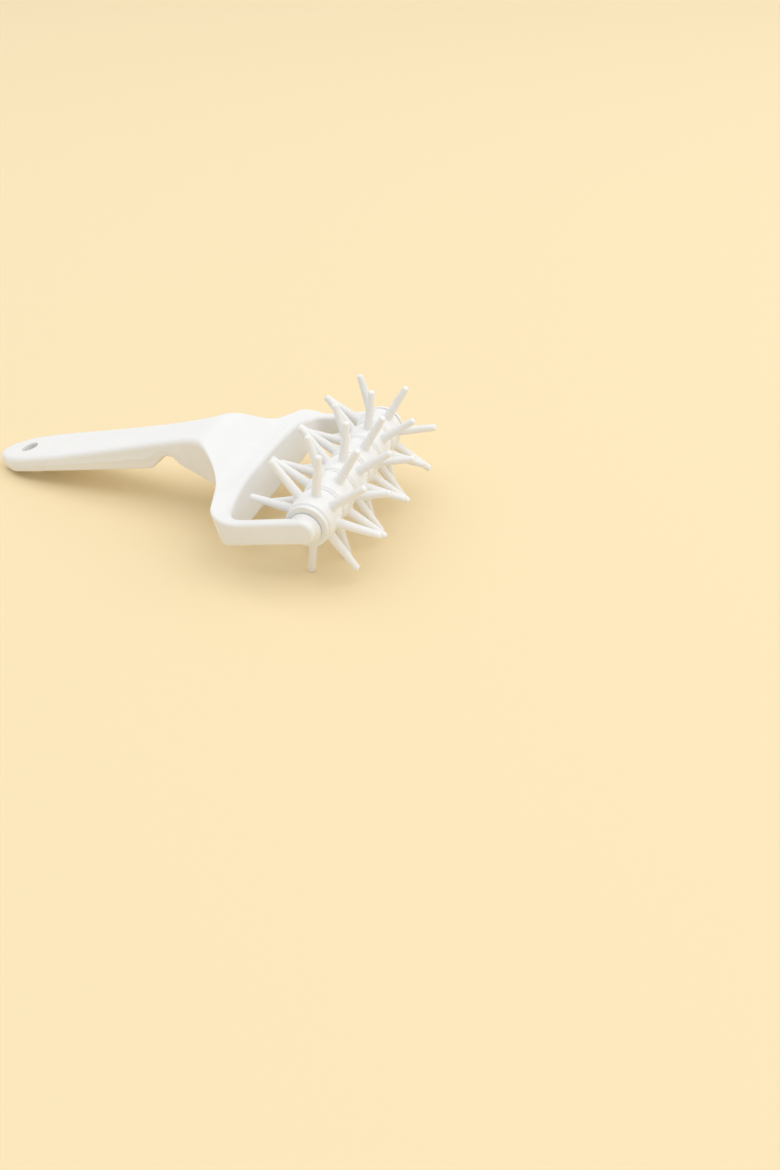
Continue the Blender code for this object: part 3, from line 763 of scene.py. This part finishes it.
def moulded_plastic(name, tone, shade, roughness, grain_strength):
    """White moulded plastic: cloudy colour, uneven gloss and the fine texture of its mould."""
    material = bpy.data.materials.new(name)
    material.use_nodes = True
    tree = material.node_tree
    links = tree.links
    shader = tree.nodes["Principled BSDF"]
    place = tree.nodes.new("ShaderNodeTexCoord")

    clouds = noise(tree, place, CLOUD_SCALE, CLOUD_DETAIL)
    clouds.inputs["Roughness"].default_value = CLOUD_ROUGHNESS
    tint = tree.nodes.new("ShaderNodeValToRGB")
    tint.color_ramp.elements[0].position = CLOUD_SHADE_POSITION
    tint.color_ramp.elements[0].color = (*shade, 1.0)
    tint.color_ramp.elements[1].position = CLOUD_TONE_POSITION
    tint.color_ramp.elements[1].color = (*tone, 1.0)
    links.new(clouds.outputs["Fac"], tint.inputs["Fac"])
    links.new(tint.outputs["Color"], shader.inputs["Base Color"])

    smears = noise(tree, place, SMEAR_SCALE, SMEAR_DETAIL)
    smears.inputs["Distortion"].default_value = SMEAR_DISTORTION
    gloss = tree.nodes.new("ShaderNodeMapRange")
    gloss.inputs["From Min"].default_value = SMEAR_LOW
    gloss.inputs["From Max"].default_value = SMEAR_HIGH
    gloss.inputs["To Min"].default_value = roughness - SMEAR_GLOSSIER
    gloss.inputs["To Max"].default_value = roughness + SMEAR_DULLER
    links.new(smears.outputs["Fac"], gloss.inputs["Value"])
    links.new(gloss.outputs["Result"], shader.inputs["Roughness"])

    fine = bump(tree, noise(tree, place, GRAIN_SCALE, GRAIN_DETAIL), grain_strength, GRAIN_HEIGHT)
    broad = bump(tree, noise(tree, place, WAVE_SCALE, WAVE_DETAIL), WAVE_STRENGTH, WAVE_HEIGHT)
    links.new(fine.outputs["Normal"], broad.inputs["Normal"])
    links.new(broad.outputs["Normal"], shader.inputs["Normal"])

    shader.inputs["Metallic"].default_value = 0.0
    shader.inputs["IOR"].default_value = PLASTIC_IOR
    shader.inputs["Subsurface Weight"].default_value = SUBSURFACE_WEIGHT
    shader.inputs["Subsurface Radius"].default_value = SUBSURFACE_RADIUS
    shader.inputs["Subsurface Scale"].default_value = SUBSURFACE_SCALE
    return material


def dress(piece, material):
    piece.data.materials.clear()
    piece.data.materials.append(material)


# Floor, light and camera

def pale_floor():
    """A plain matte floor under the docker."""
    material = bpy.data.materials.new("pale_floor")
    material.use_nodes = True
    shader = material.node_tree.nodes["Principled BSDF"]
    shader.inputs["Base Color"].default_value = (*FLOOR_COLOUR, 1.0)
    shader.inputs["Roughness"].default_value = FLOOR_ROUGHNESS
    mesh = bpy.data.meshes.new("floor")
    half = FLOOR_HALF_SIZE
    corners = [(-half, -half, 0), (half, -half, 0), (half, half, 0), (-half, half, 0)]
    mesh.from_pydata(corners, [], [(0, 1, 2, 3)])
    floor = new_object("floor", mesh)
    floor.data.materials.append(material)


def add_lamp(name, direction, distance, size, power):
    """A soft square lamp that faces the docker from a direction of (azimuth, elevation)."""
    azimuth, elevation = (math.radians(value) for value in direction)
    towards = Vector((
        math.sin(azimuth) * math.cos(elevation),
        math.cos(azimuth) * math.cos(elevation),
        math.sin(elevation),
    ))
    data = bpy.data.lights.new(name, "AREA")
    data.shape = "SQUARE"
    data.size = size
    data.energy = power
    lamp = bpy.data.objects.new(name, data)
    bpy.context.scene.collection.objects.link(lamp)
    lamp.location = towards * distance
    lamp.rotation_euler = towards.to_track_quat("Z", "Y").to_euler()


def light_the_room():
    """An even white room that shows as a plain backdrop, and the lamps."""
    world = bpy.data.worlds.new("room")
    bpy.context.scene.world = world
    world.use_nodes = True
    nodes = world.node_tree.nodes
    links = world.node_tree.links
    light = nodes["Background"]
    light.inputs["Color"].default_value = (*ROOM_COLOUR, 1.0)
    light.inputs["Strength"].default_value = ROOM_STRENGTH
    backdrop = nodes.new("ShaderNodeBackground")
    backdrop.inputs["Color"].default_value = (*BACKDROP_COLOUR, 1.0)
    rays = nodes.new("ShaderNodeLightPath")
    seen = rays.outputs["Is Camera Ray"]
    for ray in ("Is Glossy Ray", "Is Transmission Ray"):
        either = nodes.new("ShaderNodeMath")
        either.operation = "MAXIMUM"
        links.new(seen, either.inputs[0])
        links.new(rays.outputs[ray], either.inputs[1])
        seen = either.outputs["Value"]
    room = nodes.new("ShaderNodeMixShader")
    links.new(seen, room.inputs["Fac"])
    links.new(light.outputs["Background"], room.inputs[1])
    links.new(backdrop.outputs["Background"], room.inputs[2])
    links.new(room.outputs["Shader"], nodes["World Output"].inputs["Surface"])
    for name, direction, distance, size, power in LAMPS:
        add_lamp(name, direction, distance, size, power)


def set_camera():
    """The view of the photograph, placed from the axle."""
    data = bpy.data.cameras.new("camera")
    data.sensor_width = SENSOR_WIDTH
    data.lens = LENS
    data.clip_start = CLIP_START
    camera = bpy.data.objects.new("camera", data)
    bpy.context.scene.collection.objects.link(camera)
    camera.location = AXLE + Vector(CAMERA_FROM_AXLE)
    camera.rotation_euler = Euler([math.radians(angle) for angle in CAMERA_TURN])
    bpy.context.scene.camera = camera


frame_moulding = new_object("frame_moulding", placed(frame_moulding_mesh(), FRAME_PLACE))
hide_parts("frame")
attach(frame_moulding, "frame")
dress(frame_moulding, moulded_plastic("frame_plastic_finish", *FRAME_FINISH))
ring_finish = moulded_plastic("ring_plastic_finish", *RING_FINISH)
for ring in add_rings():
    dress(ring, ring_finish)
collar_finish = moulded_plastic("collar_plastic_finish", *COLLAR_FINISH)
for collar in add_collars():
    dress(collar, collar_finish)
dress(frame["nodes"]["roller_core"], collar_finish)
pale_floor()
light_the_room()
set_camera()
bpy.context.scene.view_settings.view_transform = "Standard"
